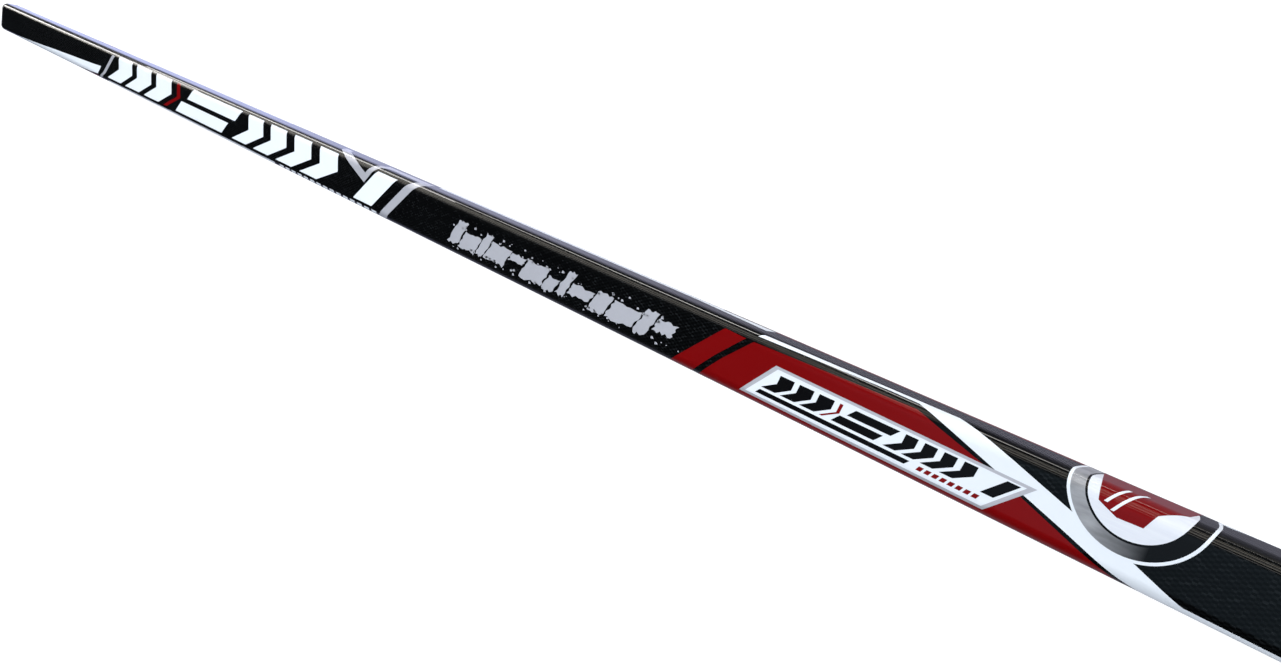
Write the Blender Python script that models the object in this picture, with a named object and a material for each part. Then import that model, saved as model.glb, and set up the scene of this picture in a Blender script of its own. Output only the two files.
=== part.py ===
"""Ice hockey stick lying on its back face, with its printed front face up.

Metres, +Z up. The shaft runs along X with its butt at -X, and the blade turns towards +Y.
The origin is under the middle of the stick's box, on the surface that it lies on.
"""

import math

import bmesh
import bpy
from mathutils import Vector

MM = 0.001
GAP = 0.3 * MM

# Shaft: a rounded rectangular tube
SHAFT_WIDTH = 30.0 * MM
SHAFT_THICKNESS = 19.5 * MM
SHAFT_CORNER = 6.0 * MM
SHAFT_WALL = 1.8 * MM
SHAFT_END = 1330.0 * MM
CORNER_STEPS = 5

# Butt plug: a flush cap with a hollow spigot that is glued into the tube
CAP_DEPTH = 3.0 * MM
CAP_EDGE = 0.8 * MM
PLUG_DEPTH = 28.0 * MM
PLUG_WALL = 2.0 * MM
GLUE = 0.4 * MM

# Whole stick, from the butt to the corner where the back of the heel meets the ice
STICK_LENGTH = 1524.0 * MM
LIE = math.radians(45.0)

# Hosel: the tapered neck between shaft and blade, and its tenon inside the shaft
TENON_START = 1262.0 * MM
HOSEL_END = 1440.0 * MM
HOSEL_WIDTH = 25.0 * MM
HOSEL_CORNER = 5.0 * MM

# Blade, measured along the ice from the heel corner and square to the ice
BLADE_LENGTH = 318.0 * MM
HEEL_HEIGHT = 62.0 * MM
TOE_HEIGHT = 74.0 * MM
HEEL_RADIUS = 28.0 * MM
THROAT_RADIUS = 35.0 * MM
TOE_RADIUS_LOW = 30.0 * MM
TOE_RADIUS_HIGH = 38.0 * MM
ROCKER = 2.5 * MM
ROCKER_START = 120.0 * MM
HEEL_END = 45.0 * MM
EDGE_RADIUS = 2.0 * MM
BLADE_OFFSET = 1.45 * MM
CURVE_START = 60.0 * MM

# Thickness of the hosel and blade at distances along the ice line, heel corner at 0
THICKNESS = (
    (SHAFT_END - STICK_LENGTH, SHAFT_THICKNESS),
    (HOSEL_END - STICK_LENGTH, 13.0 * MM),
    (HEEL_END, 8.4 * MM),
    (110.0 * MM, 6.6 * MM),
    (BLADE_LENGTH, 5.2 * MM),
)
TIP_THICKNESS = 0.55

# Layers of the blade
SKIN = 1.0 * MM
RIM_OUT = 1.6 * MM
RIM_IN = 4.8 * MM
RIM_CLEARANCE = 1.5 * MM
RIB = 1.6 * MM
RIM_START = 4

# The blade's shell keeps at least these sizes where it is thinnest
LEAST_RADIUS = 0.1 * MM
LEAST_HALF_WIDTH = 0.4 * MM
LEAST_RIM_TOP = 0.5 * MM
OUTER_CORNER_STEPS = 3
INNER_CORNER_STEPS = 2

HEEL_STATIONS = 14
BLADE_STATIONS = 8
TOE_STATIONS = 7

ICE = Vector((math.cos(LIE), math.sin(LIE)))
UP_BLADE = Vector((-math.sin(LIE), math.cos(LIE)))
HEEL_CORNER = Vector((STICK_LENGTH, -HOSEL_WIDTH / 2))


def clear_scene():
    for old in list(bpy.data.objects):
        bpy.data.objects.remove(old, do_unlink=True)


def finish(name, color, roughness, metallic=0.0):
    """A material with one colour, roughness and metallic value."""
    mat = bpy.data.materials.new(name)
    mat.use_nodes = True
    shader = mat.node_tree.nodes["Principled BSDF"]
    shader.inputs["Base Color"].default_value = (*color, 1.0)
    shader.inputs["Roughness"].default_value = roughness
    shader.inputs["Metallic"].default_value = metallic
    mat.diffuse_color = (*color, 1.0)
    return mat


def rounded_rectangle(width, height, radius):
    """Points round a rectangle centred on 0, 0, with quarter circles at its corners."""
    points = []
    for quarter, (side_a, side_b) in enumerate(((1, 1), (-1, 1), (-1, -1), (1, -1))):
        centre_a = side_a * (width / 2 - radius)
        centre_b = side_b * (height / 2 - radius)
        for step in range(CORNER_STEPS + 1):
            angle = math.pi / 2 * (quarter + step / CORNER_STEPS)
            points.append((centre_a + radius * math.cos(angle), centre_b + radius * math.sin(angle)))
    return points


def inset_section(width, height, radius, inset):
    """The rounded rectangle that lies evenly inside another by inset."""
    return rounded_rectangle(width - 2 * inset, height - 2 * inset, radius - inset)


def shaft_section(inset):
    return inset_section(SHAFT_WIDTH, SHAFT_THICKNESS, SHAFT_CORNER, inset)


def add_to_stick(obj, mat):
    obj.data.materials.append(mat)
    stick.objects.link(obj)
    return obj


def bar(name, outlines, start, end, mat):
    """A straight bar along X from flat outlines; a second outline inside the first is its bore."""
    curve = bpy.data.curves.new(name, "CURVE")
    curve.dimensions = "2D"
    curve.fill_mode = "BOTH"
    curve.extrude = (end - start) / 2
    for outline in outlines:
        spline = curve.splines.new("POLY")
        spline.points.add(len(outline) - 1)
        for point, (a, b) in zip(spline.points, outline):
            point.co = (a, b, 0.0, 1.0)
        spline.use_cyclic_u = True
    obj = bpy.data.objects.new(name, curve)
    obj.rotation_euler = (math.pi / 2, 0.0, math.pi / 2)
    obj.location = ((start + end) / 2, 0.0, SHAFT_THICKNESS / 2)
    return add_to_stick(obj, mat)


def loft(name, rings, mat, closed=False):
    """A solid through rings of equal point counts: capped at its ends, or closed like a tube wall."""
    mesh = bpy.data.meshes.new(name)
    build = bmesh.new()
    rows = [[build.verts.new(point) for point in ring] for ring in rings]
    for near, far in zip(rows, rows[1:] + (rows[:1] if closed else [])):
        for i in range(len(near)):
            j = (i + 1) % len(near)
            build.faces.new((near[i], near[j], far[j], far[i]))
    if not closed:
        build.faces.new(rows[0])
        build.faces.new(rows[-1])
    bmesh.ops.recalc_face_normals(build, faces=build.faces)
    build.to_mesh(mesh)
    build.free()
    mesh.shade_smooth()
    mesh.set_sharp_from_angle(angle=math.radians(35))
    return add_to_stick(bpy.data.objects.new(name, mesh), mat)


def trimmed(rings):
    """The same rings with both end rings drawn in by the gap, clear of their neighbours."""
    ends = []
    for end, inner in ((rings[0], rings[1]), (rings[-1], rings[-2])):
        ends.append([a + (b - a).normalized() * GAP / 2 for a, b in zip(end, inner)])
    return [ends[0]] + rings[1:-1] + [ends[1]]


def ring_at(x, section, middle):
    """A flat section stood across the shaft at x, centred at the height middle."""
    return [Vector((x, a, middle + b)) for a, b in section]


# The neck and blade as a row of stations from the hosel to the toe


def between(table, reach):
    """Straight-line reading of a table of (reach, value) pairs."""
    for (reach_a, value_a), (reach_b, value_b) in zip(table, table[1:]):
        if reach <= reach_b:
            share = max(0.0, (reach - reach_a) / (reach_b - reach_a))
            return value_a + share * (value_b - value_a)
    return table[-1][1]


def middle_height(reach):
    """Height of the neck's and blade's mid surface, which bends down to rest on its toe."""
    shaft_end = SHAFT_END - STICK_LENGTH
    share = min(1.0, max(0.0, (reach - shaft_end) / (HEEL_END - shaft_end)))
    level = SHAFT_THICKNESS / 2 + BLADE_OFFSET * share
    toe_level = THICKNESS[-1][1] / 2
    bend = max(0.0, (reach - CURVE_START) / (BLADE_LENGTH - CURVE_START))
    return level - (SHAFT_THICKNESS / 2 + BLADE_OFFSET - toe_level) * bend * bend


def corner_path(start, corner, end, radius):
    """A function that gives the point at a share of the way past a corner of this radius."""
    first = (start - corner).normalized()
    last = (end - corner).normalized()
    half = first.angle(last) / 2
    setback = radius / math.tan(half)
    sweep = math.pi - 2 * half
    centre = corner + (first + last).normalized() * radius / math.sin(half)
    arm_a = corner + first * setback - centre
    arm_b = corner + last * setback - centre
    lengths = (
        (start - corner).length - setback,
        radius * sweep,
        (end - corner).length - setback,
    )

    def point(share):
        travel = share * sum(lengths)
        if travel <= lengths[0]:
            return start - first * travel
        travel -= lengths[0]
        if travel <= lengths[1]:
            turn = travel / radius
            weight_a = math.sin(sweep - turn) / math.sin(sweep)
            weight_b = math.sin(turn) / math.sin(sweep)
            return centre + arm_a * weight_a + arm_b * weight_b
        return corner + last * (setback + travel - lengths[1])

    return point


def on_blade(along, up):
    return HEEL_CORNER + ICE * along + UP_BLADE * up


def bottom_height(along):
    rise = max(0.0, along - ROCKER_START) / (BLADE_LENGTH - ROCKER_START)
    return ROCKER * rise * rise


def top_height(along):
    return HEEL_HEIGHT + (TOE_HEIGHT - HEEL_HEIGHT) * (along - HEEL_END) / (BLADE_LENGTH - HEEL_END)


def outer_edge_past_heel(inset):
    """The back of the neck, the heel and the first of the bottom edge, moved inwards by inset."""
    side = Vector((HOSEL_END, -HOSEL_WIDTH / 2 + inset))
    slide = inset * math.tan(LIE / 2)
    return corner_path(side, on_blade(slide, inset), on_blade(HEEL_END, inset), HEEL_RADIUS - inset)


def inner_edge_past_throat(inset):
    """The front of the neck, the throat and the first of the top edge, moved inwards by inset."""
    side = Vector((HOSEL_END, HOSEL_WIDTH / 2 - inset))
    height = HEEL_HEIGHT - inset
    along = (HOSEL_WIDTH - inset) / math.sin(LIE) - height / math.tan(LIE)
    return corner_path(side, on_blade(along, height), on_blade(HEEL_END, height), THROAT_RADIUS + inset)


def edges(inset):
    """The bottom and top edge points of each station, moved inwards by inset."""
    heel = outer_edge_past_heel(inset)
    throat = inner_edge_past_throat(inset)
    pairs = []
    for step in range(HEEL_STATIONS):
        share = step / HEEL_STATIONS
        pairs.append((heel(share), throat(share)))
    straight_end = BLADE_LENGTH - TOE_RADIUS_HIGH
    for step in range(BLADE_STATIONS):
        along = HEEL_END + (straight_end - HEEL_END) * step / BLADE_STATIONS
        low_up = bottom_height(along) + inset
        high_up = top_height(along) - inset
        pairs.append((on_blade(along, low_up), on_blade(along, high_up)))
    low_centre = BLADE_LENGTH - TOE_RADIUS_LOW
    for step in range(TOE_STATIONS + 1):
        angle = math.pi / 2 * step / TOE_STATIONS
        low = TOE_RADIUS_LOW - inset
        high = TOE_RADIUS_HIGH - inset
        low_along = low_centre + low * math.sin(angle)
        high_along = straight_end + high * math.sin(angle)
        low_up = bottom_height(low_centre) + TOE_RADIUS_LOW - low * math.cos(angle)
        high_up = top_height(straight_end) - TOE_RADIUS_HIGH + high * math.cos(angle)
        pairs.append((on_blade(low_along, low_up), on_blade(high_along, high_up)))
    return pairs


def reach_at(index, place):
    """Distance along the ice line that sets thickness and height: even steps past the heel."""
    if index < HEEL_STATIONS:
        start = HOSEL_END - STICK_LENGTH
        return start + (HEEL_END - start) * index / HEEL_STATIONS
    return (place - HEEL_CORNER).dot(ICE)


def thickness_at(index, low, high):
    return between(THICKNESS, reach_at(index, (low + high) / 2))


def station_corner(index):
    """Radius of the long edges: the hosel's at the neck, easing to the blade's."""
    share = min(1.0, index / HEEL_STATIONS)
    return HOSEL_CORNER + (EDGE_RADIUS - HOSEL_CORNER) * share


def blade_ring(low, high, index, section):
    """A section given as (distance from the low edge, height) pairs, stood between two points."""
    across = (high - low).normalized()
    ring = []
    for distance, height in section:
        place = low + across * distance
        middle = middle_height(reach_at(index, place))
        ring.append(Vector((place.x, place.y, middle + height)))
    return ring


def quarter_turn(centre, radius, start, turn, steps):
    """Points round a quarter circle; start and turn are in quarter turns."""
    points = []
    for step in range(steps + 1):
        angle = math.pi / 2 * (start + turn * step / steps)
        points.append((centre[0] + radius * math.cos(angle), centre[1] + radius * math.sin(angle)))
    return points


def half_shell_section(width, thickness, corner, side):
    """One half of the blade's shell, from its parting line round one face and back inside."""
    seam = GAP / 2
    half = thickness / 2
    corner = min(corner, width / 2 - LEAST_RADIUS, half - seam)
    section = quarter_turn((width - corner, half - corner), corner, 0, 1, OUTER_CORNER_STEPS)
    section += quarter_turn((corner, half - corner), corner, 1, 1, OUTER_CORNER_STEPS)
    half_width = max(width / 2 - SKIN, LEAST_HALF_WIDTH)
    near, far = width / 2 - half_width, width / 2 + half_width
    ceiling = max(half - SKIN, 2 * seam)
    radius = min(max(corner - SKIN, LEAST_RADIUS), ceiling - seam)
    section += [(0.0, seam), (near, seam)]
    section += quarter_turn((near + radius, ceiling - radius), radius, 2, -1, INNER_CORNER_STEPS)
    section += quarter_turn((far - radius, ceiling - radius), radius, 1, -1, INNER_CORNER_STEPS)
    section += [(far, seam), (width, seam)]
    return [(distance, side * height) for distance, height in section]


def shell_half(name, side, mat):
    """The front or back carbon skin of the blade, which wraps round its edges to mid thickness."""
    rings = []
    for index, (low, high) in enumerate(OUTLINE):
        thickness = thickness_at(index, low, high)
        if index == len(OUTLINE) - 1:
            thickness *= TIP_THICKNESS
        section = half_shell_section((high - low).length, thickness, station_corner(index), side)
        rings.append(blade_ring(low, high, index, section))
    neck_end = [point + Vector((GAP, 0.0, 0.0)) for point in rings[0]]
    return loft(name, [neck_end] + rings[1:], mat)


def rim(name, mat):
    """The solid rim inside the shell: down the bottom edge, round the toe and back up the top."""
    outer, inner = edges(RIM_OUT), edges(RIM_IN)
    low_side = [(outer[i][0], inner[i][0], i) for i in range(RIM_START, len(outer))]
    high_side = [(outer[i][1], inner[i][1], i) for i in range(RIM_START, len(outer))]
    rings = []
    for out_point, in_point, index in low_side + high_side[::-1]:
        half = thickness_at(index, out_point, in_point) / 2
        corner = station_corner(index)
        low_half, full_half = half - corner, half - RIM_CLEARANCE
        width = (in_point - out_point).length
        shoulder = min(corner - SKIN, width - LEAST_RIM_TOP)
        section = (
            (0.0, -low_half), (0.0, low_half), (shoulder, full_half),
            (width, full_half), (width, -full_half), (shoulder, -full_half),
        )
        rings.append(blade_ring(out_point, in_point, index, section))
    return loft(name, rings, mat)


def strips(span):
    """Start and end of three foam strips and the two ribs between them, across a span."""
    foam = (span - 2 * RIB - 4 * GAP) / 3
    places = []
    start = 0.0
    for width in (foam, RIB, foam, RIB, foam):
        places.append((start, start + width))
        start += width + GAP
    return places


def filling(name, first, last, strip, mat):
    """A solid inside the rim from one station to another: one strip of the height, or all of it."""
    inside = edges(RIM_IN + GAP)
    rings = []
    for index in range(first, last + 1):
        low, high = inside[index]
        span = (high - low).length
        start, end = (0.0, span) if strip is None else strips(span)[strip]
        half = thickness_at(index, low, high) / 2 - SKIN - GAP
        section = ((start, -half), (start, half), (end, half), (end, -half))
        rings.append(blade_ring(low, high, index, section))
    return loft(name, trimmed(rings), mat)


def hosel_section(x, inset):
    """The ring of the neck at x, moved inwards by inset."""
    reach = x - STICK_LENGTH
    share = (x - SHAFT_END) / (HOSEL_END - SHAFT_END)
    width = SHAFT_WIDTH + (HOSEL_WIDTH - SHAFT_WIDTH) * share
    corner = SHAFT_CORNER + (HOSEL_CORNER - SHAFT_CORNER) * share
    section = inset_section(width, between(THICKNESS, reach), corner, inset)
    return ring_at(x, section, middle_height(reach))


def add_shaft():
    bar("shaft_tube", (shaft_section(0.0), shaft_section(SHAFT_WALL)), CAP_DEPTH + GAP, SHAFT_END, carbon)


def add_butt_plug():
    glue_outer = SHAFT_WALL + GAP
    spigot = glue_outer + GLUE + GAP
    middle = SHAFT_THICKNESS / 2
    rings = [
        ring_at(0.0, shaft_section(CAP_EDGE), middle),
        ring_at(CAP_EDGE, shaft_section(0.0), middle),
        ring_at(CAP_DEPTH, shaft_section(0.0), middle),
        ring_at(CAP_DEPTH, shaft_section(spigot), middle),
        ring_at(PLUG_DEPTH, shaft_section(spigot), middle),
        ring_at(PLUG_DEPTH, shaft_section(spigot + PLUG_WALL), middle),
        ring_at(CAP_DEPTH, shaft_section(spigot + PLUG_WALL), middle),
    ]
    loft("butt_plug", rings, plastic)
    sleeve = (shaft_section(glue_outer), shaft_section(glue_outer + GLUE))
    bar("butt_plug_glue", sleeve, CAP_DEPTH + 2 * GAP, PLUG_DEPTH - PLUG_WALL, glue)


def add_hosel():
    """The neck's carbon tube, and the tenon inside it that is bonded into the shaft."""
    start = SHAFT_END + GAP
    walls = [hosel_section(x, 0.0) for x in (start, HOSEL_END)]
    walls += [hosel_section(x, SHAFT_WALL) for x in (HOSEL_END, start)]
    loft("hosel_tube", walls, carbon, closed=True)
    glue_outer = SHAFT_WALL + GAP
    tenon = glue_outer + GLUE + GAP
    middle = SHAFT_THICKNESS / 2
    rings = [
        ring_at(TENON_START, shaft_section(tenon + CAP_EDGE), middle),
        ring_at(TENON_START + CAP_DEPTH, shaft_section(tenon), middle),
        ring_at(SHAFT_END + 2 * GAP, shaft_section(tenon), middle),
        hosel_section(SHAFT_END + 2 * GAP, SHAFT_WALL + GAP),
        hosel_section(HOSEL_END - GAP, SHAFT_WALL + GAP),
    ]
    loft("tenon_core", rings, resin)
    sleeve = (shaft_section(glue_outer), shaft_section(glue_outer + GLUE))
    bar("tenon_glue", sleeve, TENON_START + CAP_DEPTH, SHAFT_END - CAP_DEPTH, glue)


def add_blade():
    shell_half("blade_front_skin", 1, carbon)
    shell_half("blade_back_skin", -1, carbon)
    rim("blade_rim", resin)
    foam_end = HEEL_STATIONS + BLADE_STATIONS
    filling("heel_block", 0, HEEL_STATIONS, None, resin)
    names = ("foam_core_lower", "rib_lower", "foam_core_middle", "rib_upper", "foam_core_upper")
    for strip, name in enumerate(names):
        mat = carbon if name.startswith("rib") else foam
        filling(name, HEEL_STATIONS, foam_end, strip, mat)
    filling("toe_block", foam_end, len(OUTLINE) - 1, None, resin)


def centre_on_box():
    """Move the stick so that the origin is under the middle of its box."""
    bpy.context.view_layer.update()
    corners = [obj.matrix_world @ Vector(c) for obj in stick.objects for c in obj.bound_box]
    low = Vector(min(c[i] for c in corners) for i in range(3))
    high = Vector(max(c[i] for c in corners) for i in range(3))
    shift = Vector(((low.x + high.x) / 2, (low.y + high.y) / 2, low.z))
    for obj in stick.objects:
        obj.location -= shift


clear_scene()
stick = bpy.data.collections.new("ice_hockey_stick")
bpy.context.scene.collection.children.link(stick)

carbon = finish("clear_coated_carbon", (0.012, 0.012, 0.013), 0.12)
plastic = finish("black_plastic", (0.02, 0.02, 0.021), 0.35)
resin = finish("cast_resin", (0.10, 0.09, 0.07), 0.45)
glue = finish("epoxy_glue", (0.55, 0.47, 0.30), 0.30)
foam = finish("rigid_foam", (0.80, 0.72, 0.50), 0.85)

OUTLINE = edges(0.0)
add_shaft()
add_butt_plug()
add_hosel()
add_blade()
centre_on_box()
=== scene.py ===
import math
import random

import bmesh
import bpy
from mathutils import Matrix, Vector


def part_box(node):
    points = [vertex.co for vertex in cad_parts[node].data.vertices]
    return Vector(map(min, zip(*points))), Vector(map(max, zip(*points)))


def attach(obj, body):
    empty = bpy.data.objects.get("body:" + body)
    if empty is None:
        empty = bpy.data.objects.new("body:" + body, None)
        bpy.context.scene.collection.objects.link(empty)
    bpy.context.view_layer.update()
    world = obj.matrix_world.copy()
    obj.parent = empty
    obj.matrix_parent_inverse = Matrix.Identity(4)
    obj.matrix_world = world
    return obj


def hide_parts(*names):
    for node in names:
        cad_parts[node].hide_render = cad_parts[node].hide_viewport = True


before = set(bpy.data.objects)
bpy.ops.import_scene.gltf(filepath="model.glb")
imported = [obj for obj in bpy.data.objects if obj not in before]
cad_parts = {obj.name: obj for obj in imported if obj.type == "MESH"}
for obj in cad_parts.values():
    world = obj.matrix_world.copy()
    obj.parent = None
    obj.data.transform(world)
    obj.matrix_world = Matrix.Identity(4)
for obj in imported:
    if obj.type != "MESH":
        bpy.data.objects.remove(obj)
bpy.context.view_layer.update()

# Lengths here are in millimetres in the shaft's own frame: x from the butt, y from the shaft's
# centre line, z from the floor. place() turns them into the frame's metres.
MM = 0.001
TUBE_LOW, TUBE_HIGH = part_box("shaft_tube")
PLUG_LOW, PLUG_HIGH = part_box("butt_plug")
NECK_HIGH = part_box("hosel_tube")[1]
ORIGIN = Vector((PLUG_LOW.x, (TUBE_LOW.y + TUBE_HIGH.y) / 2, 0.0))

# Shaft section: its outer sizes come from the frame
WIDTH = (TUBE_HIGH.y - TUBE_LOW.y) / MM
THICKNESS = (TUBE_HIGH.z - TUBE_LOW.z) / MM
MIDDLE = (TUBE_HIGH.z + TUBE_LOW.z) / 2 / MM
CORNER = 6.0
WALL = 1.8
CORNER_STEPS = 14
SHAFT_START = (TUBE_LOW.x - ORIGIN.x) / MM
SHAFT_END = (TUBE_HIGH.x - ORIGIN.x) / MM
HOSEL_END = (NECK_HIGH.x - ORIGIN.x) / MM

# Butt cap
CAP_DEPTH = 3.0
CAP_EDGE = 0.8
CAP_EDGE_STEPS = 6
PLUG_DEPTH = (PLUG_HIGH.x - ORIGIN.x) / MM
PLUG_WALL = 2.0
SPIGOT_INSET = 2.8

# Neck and blade. The blade's own directions are along the ice from the heel, and up from the ice.
# STICK_LENGTH runs from the butt to the heel.
STICK_LENGTH = 1524.0
LIE = math.radians(45.0)
HOSEL_WIDTH = 25.0
HOSEL_CORNER = 5.0
NECK_GAP = 0.1
BLADE_LENGTH = 318.0
HEEL_HEIGHT = 62.0
TOE_HEIGHT = 74.0
HEEL_RADIUS = 28.0
THROAT_RADIUS = 35.0
TOE_RADIUS_LOW = 30.0
TOE_RADIUS_HIGH = 38.0
ROCKER = 2.5
ROCKER_START = 120.0
HEEL_END = 45.0
EDGE_RADIUS = 2.0
LEAST_RADIUS = 0.1
BLADE_OFFSET = 1.45
CURVE_START = 60.0
# Thickness at distances along the ice from the heel, negative on the neck
THICKNESSES = (
    (SHAFT_END - STICK_LENGTH, THICKNESS),
    (HOSEL_END - STICK_LENGTH, 13.0),
    (HEEL_END, 8.4),
    (110.0, 6.6),
    (BLADE_LENGTH, 5.2),
)
# Share of that thickness left at the very tip
TIP_THICKNESS = 0.55
SKIN = 1.0
SEAM = 0.02
ICE = Vector((math.cos(LIE), math.sin(LIE)))
UP_BLADE = Vector((-math.sin(LIE), math.cos(LIE)))
HEEL_CORNER = Vector((STICK_LENGTH, -HOSEL_WIDTH / 2))

# Fineness of the neck and blade, and the angles above which their edges stay sharp
NECK_STATIONS = 24
HEEL_STATIONS = 56
BLADE_STATIONS = 24
TOE_STATIONS = 24
TIP_STATIONS = 6
EDGE_STEPS = 8
FACE_ROWS = 6
SHARP = 35.0
BLADE_SHARP = 50.0

# Prints: distance round the section (u) runs from the middle of the +Y narrow face, over the
# front wide face, to the -Y narrow face. Each printed layer is a thin closed shell. WELD joins
# points of an outline that meet.
NARROW_FLAT = THICKNESS / 2 - CORNER
WIDE_FLAT = WIDTH - 2 * CORNER
ARC = CORNER * math.pi / 2
HALF_ROUND = 2 * NARROW_FLAT + 2 * ARC + WIDE_FLAT
LAYER = 0.03
LAYER_GAP = 0.006
WELD = 0.0005

# Emblem: its centre in (x, u), its radii, and where its ring turns black, from the centre
EMBLEM = (1263.3, 4.4)
EMBLEM_RADIUS = 23.6
RING_RADIUS = 22.5
LINE_RADIUS = 17.7
DISC_RADIUS = 16.9
RING_FADE = (-12.0, 8.0)
ROUND_STEPS = 72


def place(x, y, z):
    """A point of the shaft's own frame, in millimetres, as a point of the frame in metres."""
    return ORIGIN + Vector((x, y, z)) * MM


# Round the shaft's section


def section_point(u):
    """Point (y, z) and outward normal (ny, nz) at distance u round the shaft's section."""
    u = (u + HALF_ROUND) % (2 * HALF_ROUND) - HALF_ROUND
    flip = 1.0
    if u < 0.0:
        flip, u = -1.0, -u
    top = THICKNESS / 2
    side = WIDTH / 2
    if u <= NARROW_FLAT:
        y, z, angle = side, u, 0.0
    elif u <= NARROW_FLAT + ARC:
        angle = (u - NARROW_FLAT) / CORNER
        y = side - CORNER + CORNER * math.cos(angle)
        z = top - CORNER + CORNER * math.sin(angle)
    elif u <= NARROW_FLAT + ARC + WIDE_FLAT:
        y, z, angle = side - CORNER - (u - NARROW_FLAT - ARC), top, math.pi / 2
    elif u <= NARROW_FLAT + 2 * ARC + WIDE_FLAT:
        angle = math.pi / 2 + (u - NARROW_FLAT - ARC - WIDE_FLAT) / CORNER
        y = -side + CORNER + CORNER * math.cos(angle)
        z = top - CORNER + CORNER * math.sin(angle)
    else:
        y, z, angle = -side, HALF_ROUND - u, math.pi
    return (y, MIDDLE + flip * z), (math.cos(angle), flip * math.sin(angle))


def wrap(x, u, lift):
    """The point at x and u, lifted off the shaft's surface."""
    (y, z), (ny, nz) = section_point(u)
    return place(x, y + lift * ny, z + lift * nz)


def outward(u):
    """The shaft's outward normal at u."""
    normal = section_point(u)[1]
    return Vector((0.0, *normal))


def section_stops():
    """Distances round the section where a surface needs a row of points."""
    stops = []
    for corner in range(4):
        half, second = divmod(corner, 2)
        start = NARROW_FLAT + half * HALF_ROUND + second * (ARC + WIDE_FLAT)
        stops += [start + ARC * step / CORNER_STEPS for step in range(CORNER_STEPS + 1)]
    return stops


# Pieces and meshes


def new_piece(name, mesh, mat):
    obj = bpy.data.objects.new(name, mesh)
    bpy.context.scene.collection.objects.link(obj)
    mesh.materials.clear()
    mesh.materials.append(mat)
    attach(obj, "root")
    return obj


def mesh_from(name, points, faces, normals):
    """A smooth mesh whose corners have the given normals; None leaves a face flat."""
    mesh = bpy.data.meshes.new(name)
    mesh.from_pydata(points, [], faces)
    mesh.validate()
    mesh.shade_smooth()
    corner_normals = []
    for poly, wanted in zip(mesh.polygons, normals):
        corner_normals += wanted or [poly.normal.copy() for _ in poly.vertices]
    mesh.normals_split_custom_set(corner_normals)
    return mesh


def cut_flat(outlines):
    """The outlines as flat triangles in (x, u), cut where the section needs a row of points."""
    flat = bmesh.new()
    for outline in outlines:
        flat.faces.new([flat.verts.new((x, u, 0.0)) for x, u in outline])
    bmesh.ops.remove_doubles(flat, verts=flat.verts, dist=WELD)
    low = min(v.co.y for v in flat.verts)
    high = max(v.co.y for v in flat.verts)
    for stop in [s + shift for s in section_stops() for shift in (-2 * HALF_ROUND, 0.0)]:
        if low < stop < high:
            everything = flat.verts[:] + flat.edges[:] + flat.faces[:]
            bmesh.ops.bisect_plane(
                flat, geom=everything, dist=WELD, plane_co=(0, stop, 0), plane_no=(0, 1, 0))
    bmesh.ops.triangulate(flat, faces=flat.faces)
    flat.verts.index_update()
    flat.normal_update()
    return flat


def shell_faces(flat, upward):
    """Faces and corner normals of a closed shell over flat triangles.

    The shell's points are all those of its outer side, then all those of its inner side.
    """
    count = len(flat.verts)
    faces, normals = [], []
    for face in flat.faces:
        ring = [v.index for v in face.verts]
        if face.normal.z > 0.0:
            ring.reverse()
        faces.append(ring)
        normals.append([upward[i] for i in ring])
        faces.append([i + count for i in reversed(ring)])
        normals.append([-upward[i] for i in reversed(ring)])
    for edge in flat.edges:
        if len(edge.link_faces) == 1:
            loop = edge.link_loops[0]
            a, b = loop.vert.index, loop.link_loop_next.vert.index
            wall = [a, b, b + count, a + count]
            if edge.link_faces[0].normal.z <= 0.0:
                wall.reverse()
            faces.append(wall)
            normals.append(None)
    return faces, normals


def printed_shell(name, outlines, layer, ink, turn=0.0):
    """A thin layer of ink wrapped round the shaft, from flat outlines in (x, u)."""
    flat = cut_flat(outlines)
    places = [(v.co.x, v.co.y + turn) for v in flat.verts]
    points = [wrap(x, u, (layer + 1) * LAYER) for x, u in places]
    points += [wrap(x, u, layer * LAYER + LAYER_GAP) for x, u in places]
    faces, normals = shell_faces(flat, [outward(u) for _, u in places])
    flat.free()
    new_piece(name, mesh_from(name, points, faces, normals), ink)


def loft(name, rings, mat, closed=False, sharp=SHARP):
    """A solid through rings of equal point counts: capped at its ends, or closed like a tube wall."""
    mesh = bpy.data.meshes.new(name)
    build = bmesh.new()
    rows = [[build.verts.new(point) for point in ring] for ring in rings]
    for near, far in zip(rows, rows[1:] + (rows[:1] if closed else [])):
        for i in range(len(near)):
            j = (i + 1) % len(near)
            build.faces.new((near[i], near[j], far[j], far[i]))
    if not closed:
        build.faces.new(rows[0])
        build.faces.new(rows[-1])
    bmesh.ops.recalc_face_normals(build, faces=build.faces)
    build.to_mesh(mesh)
    build.free()
    mesh.shade_smooth()
    mesh.set_sharp_from_angle(angle=math.radians(sharp))
    piece = new_piece(name, mesh, mat)
    weighted = piece.modifiers.new("weighted_normals", "WEIGHTED_NORMAL")
    weighted.keep_sharp = True
    return piece


# Materials


# The Mix node's sockets for its share, first and second value, and its result
MIX_SOCKETS = {"FLOAT": (0, 2, 3, 0), "RGBA": (0, 6, 7, 2)}


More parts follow.
